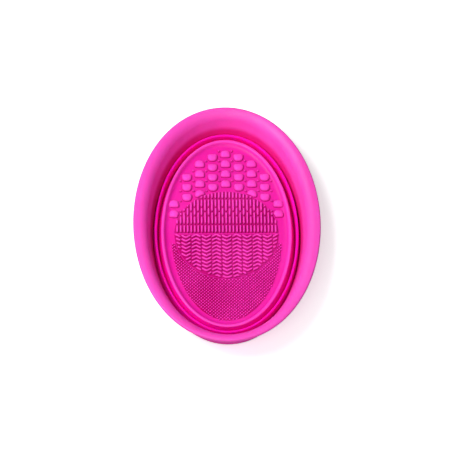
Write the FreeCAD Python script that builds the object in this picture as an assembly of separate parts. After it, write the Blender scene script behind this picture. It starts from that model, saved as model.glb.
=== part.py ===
import FreeCAD, Part
import math
import os
from FreeCAD import Vector

# Collapsible cleaning bowl for cosmetic brushes, moulded in one soft silicone.
# Millimetres. +Z is up, the bowl stands on its foot ring at Z = 0, its long side lies along Y.
# It is drawn folded flat: a textured floor, a middle ring and a rim, nested in each other and
# joined by two thin webs. Pulling the rim up turns the webs inside out, one after the other.

# Plan: every ring follows one oval of four arcs, the crest of the border round the floor.
CREST_HALF_WIDTH = 39.4
CREST_HALF_LENGTH = 66.2
CREST_END_RADIUS = 27.0

# Base: foot ring, floor and border
FOOT_HEIGHT = 4.6
FOOT_WIDTH = 2.8
FOOT_INSET = 0.6
FLOOR_THICKNESS = 2.2
BORDER_HEIGHT = 2.4
BORDER_SLOPE_RUN = 2.0
CREST_WIDTH = 1.4
CREST_CHAMFER = 0.4

# Fold: two thin webs, each from a ledge to the head of the next ring inwards
WEB_THICKNESS = 0.6
LOWER_WEB_RUN = 2.2
UPPER_WEB_RUN = 1.0
LEDGE_HEIGHT = 0.8
HEAD_HEIGHT = 1.2
FOLDED_GROUND_GAP = 0.4
WEB_END_GAP = 0.05
WEB_SIDE_GAP = 0.1

# Middle ring
MIDDLE_WALL = 1.05
MIDDLE_CHAMFER = 0.6

# Rim: a short upright wall, then a flare that rounds over like the mouth of a funnel
RIM_THICKNESS = 2.4
RIM_WALL_TOP = 5.1
RIM_ABOVE_CREST = 12.0
RIM_ROUND_RADIUS = 8.2
RIM_REACH = 18.0
RIM_EDGE_CHAMFER = 1.0

# Textured disc in the middle of the floor: bars on one half, chevrons on the other
DISC_RADIUS = 32.0
DISC_SPLIT_GAP = 1.0
RIB_HEIGHT = 1.5
RIB_DRAFT = 0.2
BAR_WIDTH = 1.3
BAR_PITCH = 2.16
BAR_ROW = 6.2
BAR_ROW_GAP = 0.9
BAR_ROWS = 5
CHEVRON_COLUMN = 6.24
CHEVRON_GAP = 0.5
CHEVRON_PITCH = 2.64
CHEVRON_RISE = 1.9
CHEVRON_WIDTH = 1.35
SMALLEST_RIB_SHARE = 0.1

# Knobs and studs between the disc and the border, on the +Y side
KNOB_COLUMN = 8.03
KNOB_ROW = 7.31
KNOB_END_GAP = 5.5
KNOB_LAST_ROW = 14.0
KNOB_STAGGER = 2.7
KNOB_WIDTH = 7.0
KNOB_LENGTH = 5.4
KNOB_HEIGHT = 1.9
KNOB_TOP_SHARE = 0.55
SMALLEST_KNOB_SHARE = 0.5
STUD_ABOVE_KNOB = 2.2
STUD_RADIUS = 0.8
STUD_HEIGHT = 1.2
TEXTURE_GAP = 0.3

# Dots between the disc and the border, on the -Y side, in diagonal rows
DOT_STEP = 2.14
DOT_RADIUS = 0.85
DOT_HEIGHT = 0.8
SMALLEST_NUB_SHARE = 0.9

# Heights that follow from the sizes above
FLOOR_TOP = FOOT_HEIGHT + FLOOR_THICKNESS
CREST_TOP = FLOOR_TOP + BORDER_HEIGHT
HEAD_BOTTOM = CREST_TOP - HEAD_HEIGHT
LEDGE_TOP = FOLDED_GROUND_GAP + LEDGE_HEIGHT
RIM_TOP = CREST_TOP + RIM_ABOVE_CREST

# Places across the section, outwards from the crest's middle line
CREST_EDGE = CREST_WIDTH / 2
BASE_EDGE = 0.0
BORDER_FOOT = -CREST_EDGE - BORDER_SLOPE_RUN
LOWER_WEB_TOP = CREST_EDGE - WEB_THICKNESS
LOWER_WEB_FOOT = LOWER_WEB_TOP + LOWER_WEB_RUN
MIDDLE_INSIDE = LOWER_WEB_FOOT + WEB_THICKNESS + WEB_SIDE_GAP
MIDDLE_OUTSIDE = MIDDLE_INSIDE + MIDDLE_WALL
MIDDLE_HEAD_EDGE = MIDDLE_OUTSIDE + WEB_THICKNESS + WEB_SIDE_GAP
UPPER_WEB_TOP = MIDDLE_HEAD_EDGE - WEB_THICKNESS
UPPER_WEB_FOOT = UPPER_WEB_TOP + UPPER_WEB_RUN
RIM_INSIDE = UPPER_WEB_FOOT + WEB_THICKNESS + WEB_SIDE_GAP
RIM_OUTSIDE = RIM_INSIDE + RIM_THICKNESS
KNOB_TOP_ROW = CREST_HALF_LENGTH + BORDER_FOOT - KNOB_END_GAP
STUD_TOP_ROW = KNOB_TOP_ROW + STUD_ABOVE_KNOB

# The oval's four arcs: (centre, radius, half of the angle that the arc turns, where its middle points)
END_CENTRE = CREST_HALF_LENGTH - CREST_END_RADIUS
CREST_SIDE_RADIUS = (
    (CREST_HALF_WIDTH ** 2 + CREST_HALF_LENGTH ** 2 - 2 * CREST_HALF_LENGTH * CREST_END_RADIUS)
    / (2 * (CREST_HALF_WIDTH - CREST_END_RADIUS)))
SIDE_CENTRE = CREST_SIDE_RADIUS - CREST_HALF_WIDTH
SIDE_ANGLE = math.degrees(math.atan2(END_CENTRE, SIDE_CENTRE))
OVAL_ARCS = [
    (Vector(-SIDE_CENTRE, 0, 0), CREST_SIDE_RADIUS, SIDE_ANGLE, 0),
    (Vector(0, END_CENTRE, 0), CREST_END_RADIUS, 90 - SIDE_ANGLE, 90),
    (Vector(SIDE_CENTRE, 0, 0), CREST_SIDE_RADIUS, SIDE_ANGLE, 180),
    (Vector(0, -END_CENTRE, 0), CREST_END_RADIUS, 90 - SIDE_ANGLE, 270),
]
Z_AXIS = Vector(0, 0, 1)


def save(name, shape):
    """Write one sub-part."""
    shape.exportStep("parts/" + name + ".step")


# ---------- sections: points are (offset from the crest's middle line, height) ----------

def point(offset, height):
    return Vector(offset, 0, height)


def line(start, end):
    return Part.LineSegment(start, end).toShape()


def arc(start, middle, end):
    return Part.Arc(start, middle, end).toShape()


def arc_about(centre, start, end):
    """The short arc about a centre."""
    middle = (start - centre) + (end - centre)
    middle.normalize()
    return arc(start, centre + middle * (start - centre).Length, end)


# ---------- shapes that follow the oval ----------

def round_the_oval(shape, arc_index, turn):
    """Put a shape drawn beside the crest's middle line on one arc, turned from the arc's middle."""
    centre, radius, half_angle, middle = OVAL_ARCS[arc_index]
    placed = shape.translated(Vector(radius, 0, 0))
    placed.rotate(Vector(), Z_AXIS, middle + turn * half_angle)
    placed.translate(centre)
    return placed


def ring(*sides):
    """Sweep a closed section round the oval, one arc at a time."""
    section = Part.Face(Part.Wire(sides))
    sectors = []
    for index, (centre, radius, half_angle, middle) in enumerate(OVAL_ARCS):
        start = round_the_oval(section, index, -1)
        sectors.append(start.revolve(centre, Z_AXIS, 2 * half_angle))
    return sectors[0].multiFuse(sectors[1:]).removeSplitter()


def ring_of_corners(*corners):
    """A ring whose section has straight sides."""
    corners = [point(*corner) for corner in corners]
    return ring(*map(line, corners, corners[1:] + corners[:1]))


def oval_plate(offset, bottom, thickness):
    """A flat plate with the oval's outline, moved outwards by offset."""
    rim = Part.Vertex(point(offset, bottom))
    edges = []
    for index, (centre, radius, half_angle, middle) in enumerate(OVAL_ARCS):
        ends = [round_the_oval(rim, index, turn).Point for turn in (-1, 0, 1)]
        edges.append(arc(*ends))
    return Part.Face(Part.Wire(edges)).extrude(Z_AXIS * thickness)


# ---------- base ----------

def base_foot_ring():
    """The ring that the bowl stands on."""
    outside = -FOOT_INSET
    inside = outside - FOOT_WIDTH
    return ring_of_corners((inside, 0), (outside, 0), (outside, FOOT_HEIGHT), (inside, FOOT_HEIGHT))


def base_floor():
    return oval_plate(BASE_EDGE, FOOT_HEIGHT, FLOOR_THICKNESS)


def floor_border():
    """The raised edge of the floor: a hollow slope inside and a crest that overhangs outside."""
    shoulder = CREST_TOP - CREST_CHAMFER
    slope_rise = shoulder - FLOOR_TOP
    slope_radius = (BORDER_SLOPE_RUN ** 2 + slope_rise ** 2) / (2 * slope_rise)
    half_turn = math.asin(BORDER_SLOPE_RUN / slope_radius) / 2
    hollow = (BORDER_FOOT + slope_radius * math.sin(half_turn),
              FLOOR_TOP + slope_radius * (1 - math.cos(half_turn)))
    return ring_of_corners(
        (BORDER_FOOT, FLOOR_TOP),
        (BASE_EDGE, FLOOR_TOP),
        (BASE_EDGE, HEAD_BOTTOM),
        (CREST_EDGE, HEAD_BOTTOM),
        (CREST_EDGE, CREST_TOP),
        (-CREST_EDGE + CREST_CHAMFER, CREST_TOP),
        (-CREST_EDGE, shoulder),
        hollow,
    )


# ---------- fold webs ----------

def fold_web(foot, top):
    """A thin wall that stands on an outer ledge and leans in to the head of the next ring."""
    web_end = HEAD_BOTTOM - WEB_END_GAP
    return ring_of_corners(
        (foot, LEDGE_TOP),
        (foot + WEB_THICKNESS, LEDGE_TOP),
        (top + WEB_THICKNESS, web_end),
        (top, web_end),
    )


# ---------- middle ring ----------

def middle_ring():
    """A band with a head that overhangs outwards and a ledge that points inwards."""
    return ring_of_corners(
        (MIDDLE_INSIDE, LEDGE_TOP),
        (LOWER_WEB_FOOT, LEDGE_TOP),
        (LOWER_WEB_FOOT, FOLDED_GROUND_GAP),
        (MIDDLE_OUTSIDE, FOLDED_GROUND_GAP),
        (MIDDLE_OUTSIDE, HEAD_BOTTOM),
        (MIDDLE_HEAD_EDGE, HEAD_BOTTOM),
        (MIDDLE_HEAD_EDGE, CREST_TOP),
        (MIDDLE_INSIDE + MIDDLE_CHAMFER, CREST_TOP),
        (MIDDLE_INSIDE, CREST_TOP - MIDDLE_CHAMFER),
    )


# ---------- rim ----------

def rim_wall():
    """The short upright band below the flare, with the ledge that the upper web stands on."""
    return ring_of_corners(
        (UPPER_WEB_FOOT, FOLDED_GROUND_GAP),
        (RIM_OUTSIDE, FOLDED_GROUND_GAP),
        (RIM_OUTSIDE, RIM_WALL_TOP),
        (RIM_INSIDE, RIM_WALL_TOP),
        (RIM_INSIDE, LEDGE_TOP),
        (UPPER_WEB_FOOT, LEDGE_TOP),
    )


def rim_lip():
    """The flare and the round that it runs on into; the round ends level, at the edge."""
    inside = point(RIM_INSIDE, RIM_WALL_TOP)
    centre = point(RIM_REACH, RIM_TOP - RIM_ROUND_RADIUS)
    reach = centre - inside
    flare_angle = math.atan2(reach.x, reach.z) - math.asin(RIM_ROUND_RADIUS / reach.Length)
    edge_angle = math.acos(RIM_EDGE_CHAMFER / RIM_ROUND_RADIUS)

    def on_round(angle, depth):
        """A point below the round's surface; the angle rises from level, 90 degrees is the top."""
        return centre + point(-math.cos(angle), math.sin(angle)) * (RIM_ROUND_RADIUS - depth)

    flare_end = on_round(flare_angle, 0)
    round_end = on_round(edge_angle, 0)
    edge_top = on_round(math.pi / 2, RIM_EDGE_CHAMFER)
    edge_bottom = on_round(math.pi / 2, RIM_THICKNESS)
    under_round = on_round((flare_angle + math.pi / 2) / 2, RIM_THICKNESS)
    under_flare = on_round(flare_angle, RIM_THICKNESS)
    outside = point(RIM_OUTSIDE, RIM_WALL_TOP)
    return ring(
        line(inside, outside),
        line(outside, under_flare),
        line(under_flare, under_round),
        line(under_round, edge_bottom),
        line(edge_bottom, edge_top),
        line(edge_top, round_end),
        arc_about(centre, round_end, flare_end),
        line(flare_end, inside),
    )


# ---------- textures on the floor ----------

def flat_face(corners):
    return Part.Face(Part.makePolygon(corners + corners[:1]))


def tapered(outline, top_outline, height):
    """A small solid between an outline on the floor and a smaller one above it."""
    low = [Vector(x, y, FLOOR_TOP) for x, y in outline]
    high = [Vector(x, y, FLOOR_TOP + height) for x, y in top_outline]
    faces = [flat_face(low), flat_face(high)]
    for corner in range(len(low)):
        faces.append(flat_face([low[corner - 1], low[corner], high[corner], high[corner - 1]]))
    return Part.Solid(Part.makeShell(faces))


def half_disc(side):
    """The half of the textured disc on the +Y side (1) or the -Y side (-1)."""
    disc = Part.makeCylinder(DISC_RADIUS, RIB_HEIGHT, Vector(0, 0, FLOOR_TOP))
    gap = DISC_SPLIT_GAP / 2
    low_y = gap if side > 0 else -DISC_RADIUS
    corner = Vector(-DISC_RADIUS, low_y, FLOOR_TOP)
    box = Part.makeBox(2 * DISC_RADIUS, DISC_RADIUS - gap, RIB_HEIGHT, corner)
    return disc.common(box)


def trimmed(shapes, zone, smallest_share):
    """Cut alike solids to a zone and drop those that its edge leaves below a share of a whole one."""
    kept = Part.makeCompound(shapes).common(zone).Solids
    smallest = smallest_share * shapes[0].Volume
    return Part.makeCompound([shape for shape in kept if shape.Volume > smallest])


def bar(x, low_y, high_y):
    half = BAR_WIDTH / 2
    top = half - RIB_DRAFT
    outline = [(x - half, low_y), (x + half, low_y), (x + half, high_y), (x - half, high_y)]
    inner_low = low_y + RIB_DRAFT
    inner_high = high_y - RIB_DRAFT
    top_outline = [(x - top, inner_low), (x + top, inner_low), (x + top, inner_high), (x - top, inner_high)]
    return tapered(outline, top_outline, RIB_HEIGHT)


def bar_ribs():
    """Upright bars in rows; in the middle rows every second column has two longer bars for three."""
    columns = int(DISC_RADIUS / BAR_PITCH)
    short_rows = [row * BAR_ROW for row in range(BAR_ROWS + 1)]
    long_rows = [0, BAR_ROW, BAR_ROW * BAR_ROWS / 2, BAR_ROW * (BAR_ROWS - 1), BAR_ROW * BAR_ROWS]
    bars = []
    for column in range(-columns, columns + 1):
        rows = long_rows if column % 2 == 0 else short_rows
        for low, high in zip(rows, rows[1:]):
            low_y = low + DISC_SPLIT_GAP / 2
            high_y = high + DISC_SPLIT_GAP / 2 - BAR_ROW_GAP
            bars.append(bar(column * BAR_PITCH, low_y, high_y))
    return trimmed(bars, half_disc(1), SMALLEST_RIB_SHARE)


def chevron(x, y, peak):
    """One V-shaped rib; peak is 1 for a peak towards +Y and -1 for a peak towards -Y."""
    slope = peak * CHEVRON_RISE / (CHEVRON_COLUMN / 2)

    def outline(width, half_span):
        peak_y = y + peak * CHEVRON_RISE / 2
        end_y = peak_y - slope * half_span
        half = width / 2
        upper = [(x + half_span, end_y + half), (x, peak_y + half), (x - half_span, end_y + half)]
        lower = [(x - half_span, end_y - half), (x, peak_y - half), (x + half_span, end_y - half)]
        return upper + lower

    half_span = (CHEVRON_COLUMN - CHEVRON_GAP) / 2
    top_width = CHEVRON_WIDTH - 2 * RIB_DRAFT
    return tapered(outline(CHEVRON_WIDTH, half_span), outline(top_width, half_span - RIB_DRAFT), RIB_HEIGHT)


def chevron_ribs():
    """Columns of chevrons that point down and up by turns, down in the middle."""
    columns = int(DISC_RADIUS / CHEVRON_COLUMN)
    rows = int(DISC_RADIUS / CHEVRON_PITCH)
    first_y = -DISC_SPLIT_GAP / 2 - CHEVRON_WIDTH / 2 - CHEVRON_RISE / 2
    ribs = []
    for column in range(-columns, columns + 1):
        peak = -1 if column % 2 == 0 else 1
        for row in range(rows):
            ribs.append(chevron(column * CHEVRON_COLUMN, first_y - row * CHEVRON_PITCH, peak))
    return trimmed(ribs, half_disc(-1), SMALLEST_RIB_SHARE)


def relief_zone():
    """The flat floor between the textured disc and the foot of the border."""
    floor = oval_plate(BORDER_FOOT - TEXTURE_GAP, FLOOR_TOP, KNOB_HEIGHT)
    return floor.cut(Part.makeCylinder(DISC_RADIUS + TEXTURE_GAP, KNOB_HEIGHT, Vector(0, 0, FLOOR_TOP)))


def knob(x, y, facing):
    """A half-moon knob, flat towards -Y (facing 1) or towards +Y (facing -1)."""
    half_width = KNOB_WIDTH / 2
    outline = []
    top_outline = []
    for step in range(7):
        angle = math.pi * step / 6
        across = half_width * math.cos(angle)
        along = KNOB_LENGTH * (math.sin(angle) - 0.5)
        outline.append((x + across, y + facing * along))
        top_outline.append((x + across * KNOB_TOP_SHARE, y + facing * along * KNOB_TOP_SHARE))
    return tapered(outline, top_outline, KNOB_HEIGHT)


def knobs(first_column, top_y, facing):
    """Every second column of knobs, from first_column outwards on both sides, cut to their zone."""
    rows = int((top_y - KNOB_LAST_ROW) / KNOB_ROW) + 1
    shapes = []
    for column in range(first_column, int(CREST_HALF_WIDTH / KNOB_COLUMN) + 1, 2):
        for row in range(rows):
            for side in {column, -column}:
                shapes.append(knob(side * KNOB_COLUMN, top_y - row * KNOB_ROW, facing))
    return trimmed(shapes, relief_zone(), SMALLEST_KNOB_SHARE)


def nub(x, y, radius, height):
    """A four-sided pointed nub, set on its corner."""
    corners = [Vector(x + radius, y, FLOOR_TOP), Vector(x, y + radius, FLOOR_TOP),
               Vector(x - radius, y, FLOOR_TOP), Vector(x, y - radius, FLOOR_TOP)]
    tip = Vector(x, y, FLOOR_TOP + height)
    sides = [flat_face([corners[turn - 1], corners[turn], tip]) for turn in range(4)]
    return Part.Solid(Part.makeShell([flat_face(corners)] + sides))


def corner_studs():
    """Small studs at the corners between the knobs."""
    shapes = []
    for column in range(int(CREST_HALF_WIDTH / KNOB_COLUMN)):
        x = (column + 0.5) * KNOB_COLUMN
        for row in range(int(STUD_TOP_ROW / KNOB_ROW) + 1):
            y = STUD_TOP_ROW - row * KNOB_ROW
            shapes.append(nub(x, y, STUD_RADIUS, STUD_HEIGHT))
            shapes.append(nub(-x, y, STUD_RADIUS, STUD_HEIGHT))
    return trimmed(shapes, relief_zone(), SMALLEST_NUB_SHARE)


def fine_dots():
    """The main dots of the field on the -Y side, set in diagonal rows."""
    columns = int(CREST_HALF_WIDTH / DOT_STEP)
    shapes = []
    for row in range(1, int(CREST_HALF_LENGTH / DOT_STEP) + 1):
        for column in range(-columns, columns + 1):
            if (row + column) % 2 == 0:
                shapes.append(nub(column * DOT_STEP, -row * DOT_STEP, DOT_RADIUS, DOT_HEIGHT))
    return trimmed(shapes, relief_zone(), SMALLEST_NUB_SHARE)


os.makedirs("parts", exist_ok=True)

save("base_foot_ring", base_foot_ring())
save("base_floor", base_floor())
save("floor_border", floor_border())
save("bar_ribs", bar_ribs())
save("chevron_ribs", chevron_ribs())
save("rising_knobs", knobs(0, KNOB_TOP_ROW, 1))
save("falling_knobs", knobs(1, KNOB_TOP_ROW - KNOB_STAGGER, -1))
save("corner_studs", corner_studs())
save("fine_dots", fine_dots())
save("lower_fold_web", fold_web(LOWER_WEB_FOOT, LOWER_WEB_TOP))
save("middle_ring", middle_ring())
save("upper_fold_web", fold_web(UPPER_WEB_FOOT, UPPER_WEB_TOP))
save("rim_wall", rim_wall())
save("rim_lip", rim_lip())
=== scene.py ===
import math

import bmesh
import bpy
from mathutils import Euler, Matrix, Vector


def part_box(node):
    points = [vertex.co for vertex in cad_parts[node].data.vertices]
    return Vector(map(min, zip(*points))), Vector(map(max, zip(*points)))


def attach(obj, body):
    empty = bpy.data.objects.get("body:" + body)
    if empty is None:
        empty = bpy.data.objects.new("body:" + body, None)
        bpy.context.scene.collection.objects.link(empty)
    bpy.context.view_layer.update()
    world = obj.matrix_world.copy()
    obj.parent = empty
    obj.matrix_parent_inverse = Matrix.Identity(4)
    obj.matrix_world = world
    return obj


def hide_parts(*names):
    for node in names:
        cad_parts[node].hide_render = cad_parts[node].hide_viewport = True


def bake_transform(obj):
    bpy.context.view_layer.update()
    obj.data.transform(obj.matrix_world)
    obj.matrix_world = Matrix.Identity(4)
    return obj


# A folding silicone bowl for washing cosmetic brushes, dressed over its CAD frame.
# Lengths are in millimetres until a mesh is made. A section's points are (offset, height):
# offset is the distance outwards from the middle line of the crest round the floor.

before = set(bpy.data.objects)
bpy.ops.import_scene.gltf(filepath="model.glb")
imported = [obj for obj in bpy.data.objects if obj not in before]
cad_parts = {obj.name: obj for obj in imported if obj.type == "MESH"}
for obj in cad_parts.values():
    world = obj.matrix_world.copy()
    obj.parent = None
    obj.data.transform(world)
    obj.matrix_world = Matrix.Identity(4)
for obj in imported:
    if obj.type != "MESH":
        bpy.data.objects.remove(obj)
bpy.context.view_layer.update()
MM = 0.001


# ---------- sizes read from the frame ----------

def reach(node, axis=0):
    """How far a node reaches along +X (axis 0), +Y (1) or +Z (2)."""
    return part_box(node)[1][axis] / MM


def lowest(node):
    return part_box(node)[0][2] / MM


CREST_HALF_WIDTH = reach("base_floor")
CREST_HALF_LENGTH = reach("base_floor", 1)
FLOOR_BOTTOM = lowest("base_floor")
FLOOR_TOP = reach("base_floor", 2)
CREST_TOP = reach("floor_border", 2)
CREST_EDGE = reach("floor_border") - CREST_HALF_WIDTH
FOOT_OUTSIDE = reach("base_foot_ring") - CREST_HALF_WIDTH
WEB_TOP = reach("lower_fold_web", 2)
LEDGE_TOP = lowest("lower_fold_web")
LOWER_WEB_OUT = reach("lower_fold_web") - CREST_HALF_WIDTH
UPPER_WEB_OUT = reach("upper_fold_web") - CREST_HALF_WIDTH
MIDDLE_HEAD_EDGE = reach("middle_ring") - CREST_HALF_WIDTH
RING_BOTTOM = lowest("middle_ring")
RIM_OUTSIDE = reach("rim_wall") - CREST_HALF_WIDTH
RIM_WALL_TOP = reach("rim_wall", 2)
RIM_REACH = reach("rim_lip") - CREST_HALF_WIDTH
RIM_TOP = reach("rim_lip", 2)

# ---------- sizes of the finish ----------
OVAL_STEPS = 288
ROUND_STEPS = 6
END_STRETCH = 0.6
FOOT_WIDTH = 2.8
BORDER_RUN = 2.0
WEB_THICKNESS = 0.6
WEB_GRIP = 0.3
LOWER_WEB_RUN = 2.2
UPPER_WEB_RUN = 1.0
MIDDLE_WALL = 1.05
RIM_THICKNESS = 2.4
RIM_ROUND = 8.2
RIM_SIDE_ROUND = 5.8
RIM_SIDE_LEVEL = 3.3

DISC_RADIUS = 32.0
DISC_UPPER_REACH = 30.4
DISC_SPLIT_GAP = 1.0
RIB_HEIGHT = 1.5
BAR_WIDTH = 1.24
BAR_PITCH = 2.16
BAR_ROW = 6.2
BAR_ROW_GAP = 0.65
BAR_ROWS = 5
CHEVRON_COLUMN = 6.24
CHEVRON_GAP = 0.5
CHEVRON_PITCH = 2.64
CHEVRON_RISE = 1.9
CHEVRON_WIDTH = 1.2
KNOB_COLUMN = 8.03
KNOB_ROW = 7.31
KNOB_TOP_ROW = CREST_HALF_LENGTH - 8.2
KNOB_LAST_ROW = 14.0
KNOB_STAGGER = 2.7
KNOB_WIDTH = 6.7
KNOB_LENGTH = 5.6
KNOB_HEIGHT = 1.9
KNOB_MARGIN = 0.8
KNOB_ROUND_SHARE = 0.62
KNOB_FLAT_SHARE = 0.38
KNOB_SHIFT_SHARE = 0.12
KNOB_OUTLINE_STEPS = 36
KNOB_TO_DISC = 0.4
STUD_TOP_ROW = KNOB_TOP_ROW + 2.2
STUD_RADIUS = 0.8
STUD_HEIGHT = 1.15
DOT_STEP = 1.07
DOT_RADIUS = 0.6
DOT_HEIGHT = 0.85
DOT_SIDE_MARGIN = 2.8
DOT_END_MARGIN = 1.7
DOT_FIRST_Y = -6.9
DOT_SIDES = 8
DOT_TO_DISC = 0.9
# Height of the dark sheets under the ribs and dots, which paint their shade.
SHADE_SHEET_RISE = 0.12


# ---------- camera, as in a photograph taken from above the near end ----------

def set_camera(elevation, azimuth, roll, distance, lens, aim):
    data = bpy.data.cameras.new("camera")
    data.lens = lens
    data.clip_start = 0.1
    camera = bpy.data.objects.new("camera", data)
    bpy.context.scene.collection.objects.link(camera)
    tilt = math.radians(90 - elevation)
    pointed = Euler((tilt, 0, math.radians(azimuth))).to_matrix()
    turned = pointed @ Euler((0, 0, math.radians(roll))).to_matrix()
    camera.rotation_euler = turned.to_euler()
    camera.location = Vector(aim) * MM + turned @ Vector((0, 0, distance))
    bpy.context.scene.camera = camera


set_camera(elevation=58.1, azimuth=-2.5, roll=1.95,
           distance=2.4, lens=313.5, aim=(-1.1, 1.3, 15.0))


# ---------- materials ----------

def silicone(name, deep, pale, heights, roughness, specular,
             subsurface, grain, pale_outside=False):
    """Satin moulded silicone with painted light and shade: deep in colour low down, paler high up.

    It is deep below heights[0] and pale above heights[1] (mm), painted shade in low folds, grooves
    and gaps and painted light on the tops; with pale_outside, faces turned outwards stay pale.
    It is slightly uneven in colour and gloss, with a fine grain, and light sinks into it.
    """
    material = bpy.data.materials.new(name)
    material.use_nodes = True
    nodes = material.node_tree.nodes
    links = material.node_tree.links
    shader = nodes["Principled BSDF"]
    place = nodes.new("ShaderNodeTexCoord")

    def noise(scale, detail):
        node = nodes.new("ShaderNodeTexNoise")
        node.inputs["Scale"].default_value = scale
        node.inputs["Detail"].default_value = detail
        links.new(place.outputs["Object"], node.inputs["Vector"])
        return node

    def ranged(source, low, high, to_low, to_high):
        node = nodes.new("ShaderNodeMapRange")
        node.interpolation_type = "SMOOTHSTEP"
        node.inputs["From Min"].default_value = low
        node.inputs["From Max"].default_value = high
        node.inputs["To Min"].default_value = to_low
        node.inputs["To Max"].default_value = to_high
        links.new(source, node.inputs["Value"])
        return node.outputs["Result"]

    axes = nodes.new("ShaderNodeSeparateXYZ")
    links.new(place.outputs["Object"], axes.inputs["Vector"])
    # Painted light and shade: the colour turns from deep to pale with height, so low folds,
    # grooves and gaps are painted dark and the tops painted pale.
    painted_lit_share = ranged(axes.outputs["Z"], heights[0] * MM, heights[1] * MM, 0.08, 0.92)
    # Faces turned outwards are kept pale, so the painted shade stays on the inner faces.
    if pale_outside:
        outwards = nodes.new("ShaderNodeVectorMath")
        outwards.operation = "NORMALIZE"
        links.new(place.outputs["Object"], outwards.inputs[0])
        facing = nodes.new("ShaderNodeVectorMath")
        facing.operation = "DOT_PRODUCT"
        links.new(place.outputs["Normal"], facing.inputs[0])
        links.new(outwards.outputs["Vector"], facing.inputs[1])
        painted_lit_outside = nodes.new("ShaderNodeMath")
        painted_lit_outside.operation = "MAXIMUM"
        links.new(painted_lit_share, painted_lit_outside.inputs[0])
        links.new(ranged(facing.outputs["Value"], 0.2, 0.6, 0.0, 0.8), painted_lit_outside.inputs[1])
        painted_lit_share = painted_lit_outside.outputs["Value"]
    clouds = ranged(noise(28, 3).outputs["Fac"], 0.3, 0.7, -0.08, 0.08)
    tone = nodes.new("ShaderNodeMath")
    tone.operation = "ADD"
    links.new(painted_lit_share, tone.inputs[0])
    links.new(clouds, tone.inputs[1])
    colour = nodes.new("ShaderNodeMix")
    colour.data_type = "RGBA"
    colour.inputs["A"].default_value = (*deep, 1)
    colour.inputs["B"].default_value = (*pale, 1)
    links.new(tone.outputs["Value"], colour.inputs["Factor"])
    links.new(colour.outputs["Result"], shader.inputs["Base Color"])
    gloss = ranged(noise(90, 5).outputs["Fac"], 0.3, 0.7, roughness - 0.04, roughness + 0.05)
    links.new(gloss, shader.inputs["Roughness"])

    bump = nodes.new("ShaderNodeBump")
    bump.inputs["Strength"].default_value = grain
    bump.inputs["Distance"].default_value = 0.0001
    links.new(noise(2600, 2).outputs["Fac"], bump.inputs["Height"])
    links.new(bump.outputs["Normal"], shader.inputs["Normal"])

    shader.inputs["IOR"].default_value = 1.43
    shader.inputs["Specular IOR Level"].default_value = specular
    shader.inputs["Subsurface Weight"].default_value = subsurface
    shader.inputs["Subsurface Radius"].default_value = (1.0, 0.12, 0.45)
    shader.inputs["Subsurface Scale"].default_value = 0.0012
    return material


# The deep and pale colours over each height band are painted shade and painted light: the rim's
# lower inner wall, the floor and the gaps between ribs and dots painted darker, the rim, the crest
# and the rib, knob and dot tops painted paler.
RIM = silicone(
    "silicone_rim", deep=(0.72, 0.001, 0.21), pale=(0.94, 0.064, 0.53), heights=(9.0, 13.0),
    roughness=0.5, specular=0.6, subsurface=0.25, grain=0.25, pale_outside=True)
BASE = silicone(
    "silicone_base", deep=(0.76, 0.001, 0.33), pale=(0.95, 0.05, 0.53), heights=(7.2, 9.2),
    roughness=0.46, specular=0.35, subsurface=0.25, grain=0.25)
RELIEF = silicone(
    "silicone_relief", deep=(0.46, 0.0003, 0.15), pale=(0.99, 0.064, 0.58), heights=(7.1, 8.3),
    roughness=0.42, specular=0.08, subsurface=0.15, grain=0.15)
DOTS = silicone(
    "silicone_dots", deep=(0.42, 0.0003, 0.11), pale=(1.0, 0.05, 0.62), heights=(7.15, 7.5),
    roughness=0.42, specular=0.05, subsurface=0.1, grain=0.1)
# The middle ring and the thin webs are brighter and more saturated than the rim low down: painted
# glow of light through thin silicone, besides the real subsurface light.
FOLD = silicone(
    "silicone_fold", deep=(0.94, 0.001, 0.30), pale=(0.96, 0.003, 0.48), heights=(6.0, 9.0),
    roughness=0.6, specular=0.1, subsurface=0.8, grain=0.15)
WEB = silicone(
    "silicone_thin", deep=(0.96, 0.001, 0.32), pale=(0.97, 0.002, 0.42), heights=(2.0, 8.0),
    roughness=0.6, specular=0.1, subsurface=0.8, grain=0.15)


# ---------- mesh helpers ----------

def make_piece(name, points, faces, material, nodes):
    """A smooth mesh piece that stands for CAD nodes."""
    mesh = bpy.data.meshes.new(name)
    mesh.from_pydata([Vector(point) * MM for point in points], [], faces)
    rough = bmesh.new()
    rough.from_mesh(mesh)
    bmesh.ops.recalc_face_normals(rough, faces=rough.faces)
    rough.to_mesh(mesh)
    rough.free()
    for polygon in mesh.polygons:
        polygon.use_smooth = True
    mesh.materials.append(material)
    piece = bpy.data.objects.new(name, mesh)
    bpy.context.scene.collection.objects.link(piece)
    if nodes:
        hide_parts(*nodes)
    return piece


def rounded(corners):
    """A section's points from corners (offset, height, size of the rounding)."""
    points = []
    count = len(corners)
    for index, (offset, height, size) in enumerate(corners):
        corner = Vector((offset, height))
        if not size:
            points.append(tuple(corner))
            continue
        to_last = Vector(corners[index - 1][:2]) - corner
        to_next = Vector(corners[(index + 1) % count][:2]) - corner
        start = corner + to_last.normalized() * min(size, 0.49 * to_last.length)
        end = corner + to_next.normalized() * min(size, 0.49 * to_next.length)
        for step in range(ROUND_STEPS + 1):
            share = step / ROUND_STEPS
            point = start.lerp(corner, share).lerp(corner.lerp(end, share), share)
            points.append(tuple(point))
    return points


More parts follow.
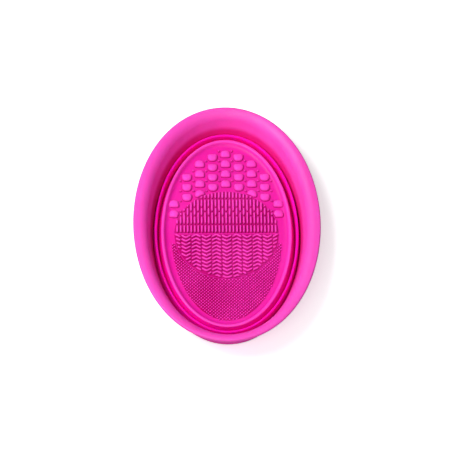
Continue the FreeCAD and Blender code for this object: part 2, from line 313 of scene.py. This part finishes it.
def oval(end, side):
    """Points round the oval for one point of the section.

    The point may differ at the oval's ends and sides. The inner sections reach END_STRETCH
    further at the ends, which fades out towards the rim's edge.
    """
    points = []
    for step in range(OVAL_STEPS):
        turn = 2 * math.pi * step / OVAL_STEPS
        offset, height = Vector(end).lerp(Vector(side), math.cos(turn) ** 2)
        normal = Vector((math.cos(turn) * CREST_HALF_LENGTH, math.sin(turn) * CREST_HALF_WIDTH))
        normal.normalize()
        x = CREST_HALF_WIDTH * math.cos(turn) + offset * normal.x
        fade = min(max((RIM_REACH - offset) / (RIM_REACH - RIM_OUTSIDE), 0), 1)
        stretch = END_STRETCH * fade
        y = (CREST_HALF_LENGTH + stretch) * math.sin(turn) + offset * normal.y
        points.append((x, y, height))
    return points


def sweep(name, section, closed, material, nodes, side_section=None):
    """A section swept round the oval: a closed ring, or an open one with its ends filled flat."""
    points = []
    for end, side in zip(section, side_section or section):
        points += oval(end, side)
    faces = []
    loops = len(section)
    for loop in range(loops if closed else loops - 1):
        first = loop * OVAL_STEPS
        second = (loop + 1) % loops * OVAL_STEPS
        for step in range(OVAL_STEPS):
            after = (step + 1) % OVAL_STEPS
            faces.append((first + step, first + after, second + after, second + step))
    if not closed:
        faces.append(tuple(range(OVAL_STEPS)))
        faces.append(tuple(range((loops - 1) * OVAL_STEPS, loops * OVAL_STEPS)))
    piece = make_piece(name, points, faces, material, nodes)
    piece.modifiers.new("even_shading", "WEIGHTED_NORMAL")
    return piece


# ---------- the moulding's smooth zones ----------

def make_base():
    """Floor, border and foot in one skin."""
    middle = -BORDER_RUN - 6
    foot_inside = FOOT_OUTSIDE - FOOT_WIDTH
    section = rounded([
        (middle, FLOOR_TOP, 0),
        (-CREST_EDGE - BORDER_RUN * 0.8, FLOOR_TOP, 2.4),
        (-CREST_EDGE - 0.1, CREST_TOP, 0.7),
        (CREST_EDGE, CREST_TOP, 0.65),
        (CREST_EDGE, WEB_TOP, 0.15),
        (0, WEB_TOP, 0.15),
        (0, FLOOR_BOTTOM, 0.5),
        (FOOT_OUTSIDE, FLOOR_BOTTOM, 0.3),
        (FOOT_OUTSIDE, 0, 0.6),
        (foot_inside, 0, 0.6),
        (foot_inside, FLOOR_BOTTOM, 0.6),
        (middle, FLOOR_BOTTOM, 0),
    ])
    nodes = ["base_floor", "floor_border", "base_foot_ring"]
    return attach(sweep("bowl_base", section, False, BASE, nodes), "base")


def make_middle():
    inside = LOWER_WEB_OUT + 0.1
    outside = inside + MIDDLE_WALL
    section = rounded([
        (inside, LEDGE_TOP, 0.5),
        (LOWER_WEB_OUT - WEB_THICKNESS, LEDGE_TOP, 0.15),
        (LOWER_WEB_OUT - WEB_THICKNESS, RING_BOTTOM, 0.3),
        (outside, RING_BOTTOM, 0.3),
        (outside, WEB_TOP, 0.15),
        (MIDDLE_HEAD_EDGE, WEB_TOP, 0.15),
        (MIDDLE_HEAD_EDGE, CREST_TOP, 0.7),
        (inside + 0.3, CREST_TOP, 0.7),
    ])
    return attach(sweep("bowl_middle_ring", section, True, FOLD, ["middle_ring"]), "middle")


def arc_points(centre, radius, start, end, steps):
    """Points on an arc; angles in degrees from straight up, clockwise."""
    points = []
    for step in range(steps + 1):
        angle = math.radians(start + (end - start) * step / steps)
        points.append((centre[0] + radius * math.sin(angle), centre[1] + radius * math.cos(angle)))
    return points


def rim_section(radius, centre_offset):
    """Ledge, wall, flare and round, which ends in a rounded edge, after a level run if small."""
    inside = RIM_OUTSIDE - RIM_THICKNESS
    edge_round = RIM_THICKNESS / 2
    overrun = max(centre_offset - (RIM_REACH - edge_round), 0)
    last = -math.degrees(math.asin(overrun / (radius - edge_round)))
    level = math.cos(math.radians(last))
    centre = (centre_offset, RIM_TOP - radius * level)
    edge_centre = (RIM_REACH - edge_round, centre[1] + (radius - edge_round) * level)
    across, up = centre[0] - inside, centre[1] - RIM_WALL_TOP
    first = math.degrees(math.atan2(across, up) - math.asin(radius / math.hypot(across, up))) - 90
    top = arc_points(centre, radius, first, last, 20)
    edge = arc_points(edge_centre, edge_round, last, last + 180, 12)
    below = arc_points(centre, radius - RIM_THICKNESS, last, first, 12)
    web_foot = UPPER_WEB_OUT - WEB_THICKNESS
    wall = rounded([
        (*below[-1], 0),
        (RIM_OUTSIDE, RIM_WALL_TOP, 1.5),
        (RIM_OUTSIDE, RING_BOTTOM, 0.7),
        (web_foot, RING_BOTTOM, 0.3),
        (web_foot, LEDGE_TOP, 0.15),
        (inside, LEDGE_TOP, 0.5),
        (inside, RIM_WALL_TOP, 2.0),
        (*top[0], 0),
    ])
    return top + edge[1:] + below[1:] + wall[1:-1]


def make_rim():
    """The whole rim in one skin, flatter along the sides than at the ends."""
    ends = rim_section(RIM_ROUND, RIM_REACH)
    sides = rim_section(RIM_SIDE_ROUND, RIM_REACH - RIM_SIDE_LEVEL)
    nodes = ["rim_wall", "rim_lip"]
    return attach(sweep("bowl_rim", ends, True, RIM, nodes, sides), "rim")


def make_web(name, node, foot, run):
    """A thin wall hung from one ring's head, which turns over when the next ring is pulled up."""
    steps = 16
    low, high = LEDGE_TOP - WEB_GRIP, WEB_TOP + WEB_GRIP
    side = []
    for step in range(steps + 1):
        height = high + (low - high) * step / steps
        share = min(max((WEB_TOP - height) / (WEB_TOP - LEDGE_TOP), 0), 1)
        side.append((foot - run * (1 - share), height))
    other = [(offset + WEB_THICKNESS, height) for offset, height in reversed(side)]
    piece = sweep(name, side + other, True, WEB, [node])
    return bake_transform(piece)


# ---------- relief on the floor ----------

RIB_PROFILE = [(-1.0, 0.0), (-0.95, 0.4), (-0.78, 0.76), (-0.45, 0.95), (0.0, 1.0),
               (0.45, 0.95), (0.78, 0.76), (0.95, 0.4), (1.0, 0.0)]
END_SHARES = [0.0, 0.06, 0.25, 0.6, 1.0]


def add_rib(points, faces, line, width, height, end_run=0.5):
    """A rounded rib along a line on the floor; its ends are rounded in plan and in height."""
    lengths = [0.0]
    for start, end in zip(line, line[1:]):
        lengths.append(lengths[-1] + math.dist(start, end))
    total = lengths[-1]
    end_round = min(width * end_run, total * 0.45)
    near = [share * end_round for share in END_SHARES]
    places = near + [length for length in lengths if end_round < length < total - end_round]
    places += [total - place for place in reversed(near)]
    first = len(points)
    for place in places:
        index = min(max(sum(length < place for length in lengths), 1), len(line) - 1)
        start, end = Vector(line[index - 1]), Vector(line[index])
        share = (place - lengths[index - 1]) / (lengths[index] - lengths[index - 1])
        spot = start.lerp(end, share)
        ahead = (end - start).normalized()
        to_end = min(place, total - place, end_round) / end_round
        plump = math.sqrt(max(1 - (1 - to_end) ** 2, 0.02))
        for across, up in RIB_PROFILE:
            side = across * width / 2 * plump
            lift = up * height * plump ** 0.5 if up else -0.2
            points.append((spot.x - ahead.y * side, spot.y + ahead.x * side, FLOOR_TOP + lift))
    row = len(RIB_PROFILE)
    for ring in range(len(places) - 1):
        for column in range(row - 1):
            corner = first + ring * row + column
            faces.append((corner, corner + 1, corner + row + 1, corner + row))
    faces.append(tuple(range(first, first + row)))
    faces.append(tuple(range(len(points) - row, len(points))))


def add_shade_sheet(points, faces, start, end, outer):
    """A dark skin just over the floor, which fills a relief's zone between outer's two distances:
    painted shade between the ribs or dots.
    """
    steps = 72
    first = len(points)
    for step in range(steps + 1):
        turn = start + (end - start) * step / steps
        across, along = math.cos(turn), math.sin(turn)
        near, far = outer(across, along)
        points.append((across * near, along * near, FLOOR_TOP + SHADE_SHEET_RISE))
        points.append((across * far, along * far, FLOOR_TOP + SHADE_SHEET_RISE))
    for corner in range(first, first + 2 * steps, 2):
        faces.append((corner, corner + 1, corner + 3, corner + 2))


def disc_edge(across, along):
    """How far the disc reaches in a direction; its upper half is a little flatter."""
    upper = DISC_UPPER_REACH if along > 0 else DISC_RADIUS
    return 1 / math.hypot(across / DISC_RADIUS, along / upper)


def disc_gap(x, y):
    """How far outside the disc a point lies."""
    length = math.hypot(x, y)
    return length - disc_edge(x / length, y / length)


def half_disc(across, along):
    """Where the dark shade sheet of a half disc starts and ends in a direction."""
    far = disc_edge(across, along)
    return min(DISC_SPLIT_GAP / 2 / max(abs(along), 0.01), far), far


def make_bars():
    """Bars in rows; in the middle rows every second column has two longer bars for three."""
    points, faces = [], []
    columns = int(DISC_RADIUS / BAR_PITCH)
    even_rows = [row * BAR_ROW for row in range(BAR_ROWS + 1)]
    long_rows = [0, BAR_ROW, BAR_ROW * BAR_ROWS / 2, BAR_ROW * (BAR_ROWS - 1), BAR_ROW * BAR_ROWS]
    for column in range(-columns, columns + 1):
        x = column * BAR_PITCH
        rows = long_rows if column % 2 == 0 else even_rows
        edge = DISC_UPPER_REACH * math.sqrt(1 - (x / DISC_RADIUS) ** 2)
        for low, high in zip(rows, rows[1:]):
            start = low + DISC_SPLIT_GAP / 2
            end = min(high + DISC_SPLIT_GAP / 2 - BAR_ROW_GAP, edge)
            if end - start > BAR_WIDTH:
                line = [(x, start), (x, (start + end) / 2), (x, end)]
                add_rib(points, faces, line, BAR_WIDTH, RIB_HEIGHT, 1.1)
    # A dark sheet between the bars: painted shade.
    add_shade_sheet(points, faces, 0.02, math.pi - 0.02, half_disc)
    piece = make_piece("floor_bars", points, faces, RELIEF, ["bar_ribs"])
    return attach(piece, "base")


def make_chevrons():
    """Columns of chevrons that point down and up by turns, down in the middle, cut to the disc."""
    points, faces = [], []
    columns = int(DISC_RADIUS / CHEVRON_COLUMN)
    rows = int(DISC_RADIUS / CHEVRON_PITCH)
    half_span = (CHEVRON_COLUMN - CHEVRON_GAP) / 2
    soft = 0.35
    first_y = -DISC_SPLIT_GAP / 2 - CHEVRON_WIDTH / 2 - CHEVRON_RISE / 2
    for column in range(-columns, columns + 1):
        peak = -1 if column % 2 == 0 else 1
        for row in range(rows):
            line = []
            for step in range(-8, 9):
                across = half_span * step / 8
                drop = (math.hypot(across, soft) - soft) * CHEVRON_RISE / (CHEVRON_COLUMN / 2)
                x = column * CHEVRON_COLUMN + across
                y = first_y - row * CHEVRON_PITCH + peak * (CHEVRON_RISE / 2 - drop)
                if math.hypot(x, y) < DISC_RADIUS - CHEVRON_WIDTH / 3:
                    line.append((x, y))
            if len(line) > 4:
                add_rib(points, faces, line, CHEVRON_WIDTH, RIB_HEIGHT)
    # A dark sheet between the chevrons: painted shade.
    add_shade_sheet(points, faces, math.pi + 0.02, 2 * math.pi - 0.02, half_disc)
    piece = make_piece("floor_chevrons", points, faces, RELIEF, ["chevron_ribs"])
    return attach(piece, "base")


def inside_oval(x, y, offset):
    """Whether a point lies inside the oval moved outwards by offset."""
    return (x / (CREST_HALF_WIDTH + offset)) ** 2 + (y / (CREST_HALF_LENGTH + offset)) ** 2 < 1


def add_dome(points, faces, outline, centre, height, fullness):
    """A pillow over an outline on the floor: steep at its edge and nearly flat on top."""
    shares = [1.0, 0.97, 0.9, 0.78, 0.62, 0.42, 0.2]
    first = len(points)
    count = len(outline)
    for index, share in enumerate(shares):
        lift = height * (1 - share ** fullness) ** 0.6 if index else -0.2
        for x, y in outline:
            across = centre[0] + (x - centre[0]) * share
            along = centre[1] + (y - centre[1]) * share
            points.append((across, along, FLOOR_TOP + lift))
    points.append((*centre, FLOOR_TOP + height))
    for ring in range(len(shares) - 1):
        for step in range(count):
            after = (step + 1) % count
            low = first + ring * count
            faces.append((low + step, low + after, low + count + after, low + count + step))
    last = first + (len(shares) - 1) * count
    for step in range(count):
        faces.append((last + step, last + (step + 1) % count, len(points) - 1))


def knob_outline(x, y, facing):
    """A half-moon with soft corners, flat towards -Y (facing 1) or +Y (facing -1)."""
    outline = []
    for step in range(KNOB_OUTLINE_STEPS):
        angle = 2 * math.pi * step / KNOB_OUTLINE_STEPS
        sine = math.sin(angle)
        across = math.copysign(abs(math.cos(angle)) ** 0.72, math.cos(angle)) * KNOB_WIDTH / 2
        if sine > 0:
            along = sine * KNOB_LENGTH * KNOB_ROUND_SHARE
        else:
            along = math.copysign(abs(sine) ** 0.45, sine) * KNOB_LENGTH * KNOB_FLAT_SHARE
        spot = Vector((x + across, y + facing * (along - KNOB_LENGTH * KNOB_SHIFT_SHARE)))
        gap = disc_gap(*spot)
        if gap < KNOB_TO_DISC:
            spot += spot.normalized() * (KNOB_TO_DISC - gap)
        outline.append(tuple(spot))
    return outline


def make_knobs(name, node, first_column, top_y, facing):
    points, faces = [], []
    rows = int((top_y - KNOB_LAST_ROW) / KNOB_ROW) + 1
    border_foot = -CREST_EDGE - BORDER_RUN
    for column in range(first_column, int(CREST_HALF_WIDTH / KNOB_COLUMN) + 1, 2):
        for row in range(rows):
            y = top_y - row * KNOB_ROW
            x = column * KNOB_COLUMN
            if inside_oval(x, y, border_foot - KNOB_MARGIN) and disc_gap(x, y) > 0.5:
                for side in sorted({x, -x}):
                    outline = knob_outline(side, y, facing)
                    add_dome(points, faces, outline, (side, y), KNOB_HEIGHT, 2.7)
    piece = make_piece(name, points, faces, RELIEF, [node])
    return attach(piece, "base")


def circle(x, y, radius, count):
    turns = [2 * math.pi * step / count for step in range(count)]
    return [(x + radius * math.cos(turn), y + radius * math.sin(turn)) for turn in turns]


def make_studs():
    points, faces = [], []
    border_foot = -CREST_EDGE - BORDER_RUN
    for column in range(int(CREST_HALF_WIDTH / KNOB_COLUMN)):
        x = (column + 0.5) * KNOB_COLUMN
        for row in range(int(STUD_TOP_ROW / KNOB_ROW) + 1):
            y = STUD_TOP_ROW - row * KNOB_ROW
            if disc_gap(x, y) > STUD_RADIUS and inside_oval(x, y, border_foot - STUD_RADIUS):
                for side in (x, -x):
                    outline = circle(side, y, STUD_RADIUS, 14)
                    add_dome(points, faces, outline, (side, y), STUD_HEIGHT, 2.2)
    piece = make_piece("floor_studs", points, faces, RELIEF, ["corner_studs"])
    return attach(piece, "base")


def make_dots():
    """A close field of dots in diagonal rows, on the end away from the knobs."""
    points, faces = [], []
    border_foot = -CREST_EDGE - BORDER_RUN
    half_width = CREST_HALF_WIDTH + border_foot - DOT_SIDE_MARGIN
    half_length = CREST_HALF_LENGTH + border_foot - DOT_END_MARGIN
    columns = int(CREST_HALF_WIDTH / DOT_STEP)
    for row in range(round(-DOT_FIRST_Y / DOT_STEP), int(CREST_HALF_LENGTH / DOT_STEP)):
        for column in range(-columns, columns + 1):
            x, y = column * DOT_STEP, -row * DOT_STEP
            inside = math.hypot(x / half_width, y / half_length) < 1
            if (row + column) % 2 == 0 and inside and disc_gap(x, y) > DOT_TO_DISC:
                outline = circle(x, y, DOT_RADIUS, DOT_SIDES)
                add_dome(points, faces, outline, (x, y), DOT_HEIGHT, 2.4)

    def field(across, along):
        far = 1 / math.hypot(across / half_width, along / half_length)
        return min(DISC_RADIUS + 0.4, far), far

    # A dark sheet under the dots, up to the disc: painted shade between them.
    turn = math.asin(-DOT_FIRST_Y / DISC_RADIUS)
    add_shade_sheet(points, faces, math.pi + turn, 2 * math.pi - turn, field)
    piece = make_piece("floor_dots", points, faces, DOTS, ["fine_dots"])
    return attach(piece, "base")


make_base()
make_middle()
make_rim()
make_web("bowl_lower_web", "lower_fold_web",
         LOWER_WEB_OUT - WEB_THICKNESS, LOWER_WEB_RUN)
make_web("bowl_upper_web", "upper_fold_web",
         UPPER_WEB_OUT - WEB_THICKNESS, UPPER_WEB_RUN)
make_bars()
make_chevrons()
make_knobs("floor_rising_knobs", "rising_knobs", 0, KNOB_TOP_ROW, 1)
make_knobs("floor_falling_knobs", "falling_knobs", 1, KNOB_TOP_ROW - KNOB_STAGGER, -1)
make_studs()
make_dots()


# ---------- floor and light ----------

def white_floor():
    mesh = bpy.data.meshes.new("floor")
    mesh.from_pydata([(-3, -3, 0), (3, -3, 0), (3, 3, 0), (-3, 3, 0)], [], [(0, 1, 2, 3)])
    floor = bpy.data.objects.new("floor", mesh)
    bpy.context.scene.collection.objects.link(floor)
    floor.location.z = -0.0002
    material = bpy.data.materials.new("floor")
    material.use_nodes = True
    nodes = material.node_tree.nodes
    links = material.node_tree.links
    shader = nodes["Principled BSDF"]
    shader.inputs["Base Color"].default_value = (0.8, 0.8, 0.8, 1)
    shader.inputs["Roughness"].default_value = 0.9
    seen = nodes.new("ShaderNodeLightPath")
    pale = nodes.new("ShaderNodeMix")
    pale.data_type = "RGBA"
    pale.inputs["A"].default_value = (0.7, 0.7, 0.7, 1)
    pale.inputs["B"].default_value = (1, 1, 1, 1)
    links.new(seen.outputs["Is Camera Ray"], pale.inputs["Factor"])
    links.new(pale.outputs["Result"], shader.inputs["Base Color"])
    shader.inputs["Emission Color"].default_value = (1, 1, 1, 1)
    glow = nodes.new("ShaderNodeMath")
    glow.operation = "MULTIPLY"
    glow.inputs[1].default_value = 0.45
    links.new(seen.outputs["Is Camera Ray"], glow.inputs[0])
    links.new(glow.outputs["Value"], shader.inputs["Emission Strength"])
    mesh.materials.append(material)


def area_light(name, direction, distance, size, power):
    data = bpy.data.lights.new(name, "AREA")
    data.size = size
    data.energy = power
    lamp = bpy.data.objects.new(name, data)
    bpy.context.scene.collection.objects.link(lamp)
    lamp.location = Vector(direction).normalized() * distance
    lamp.rotation_euler = Vector(direction).to_track_quat("Z", "Y").to_euler()
    lamp.visible_camera = False


def light_scene():
    world = bpy.data.worlds.new("studio")
    world.use_nodes = True
    bpy.context.scene.world = world
    nodes = world.node_tree.nodes
    links = world.node_tree.links
    back = nodes["Background"]
    back.inputs["Color"].default_value = (1, 1, 1, 1)
    seen = nodes.new("ShaderNodeLightPath")
    level = nodes.new("ShaderNodeMapRange")
    level.inputs["To Min"].default_value = 0.18
    level.inputs["To Max"].default_value = 1.0
    links.new(seen.outputs["Is Camera Ray"], level.inputs["Value"])
    links.new(level.outputs["Result"], back.inputs["Strength"])
    area_light("key", (-0.54, 0.04, 0.84), 0.6, 0.36, 3.3)
    area_light("front", (-0.1, -0.62, 0.78), 1.4, 1.0, 8.2)


white_floor()
light_scene()
bpy.context.scene.view_settings.view_transform = "Standard"
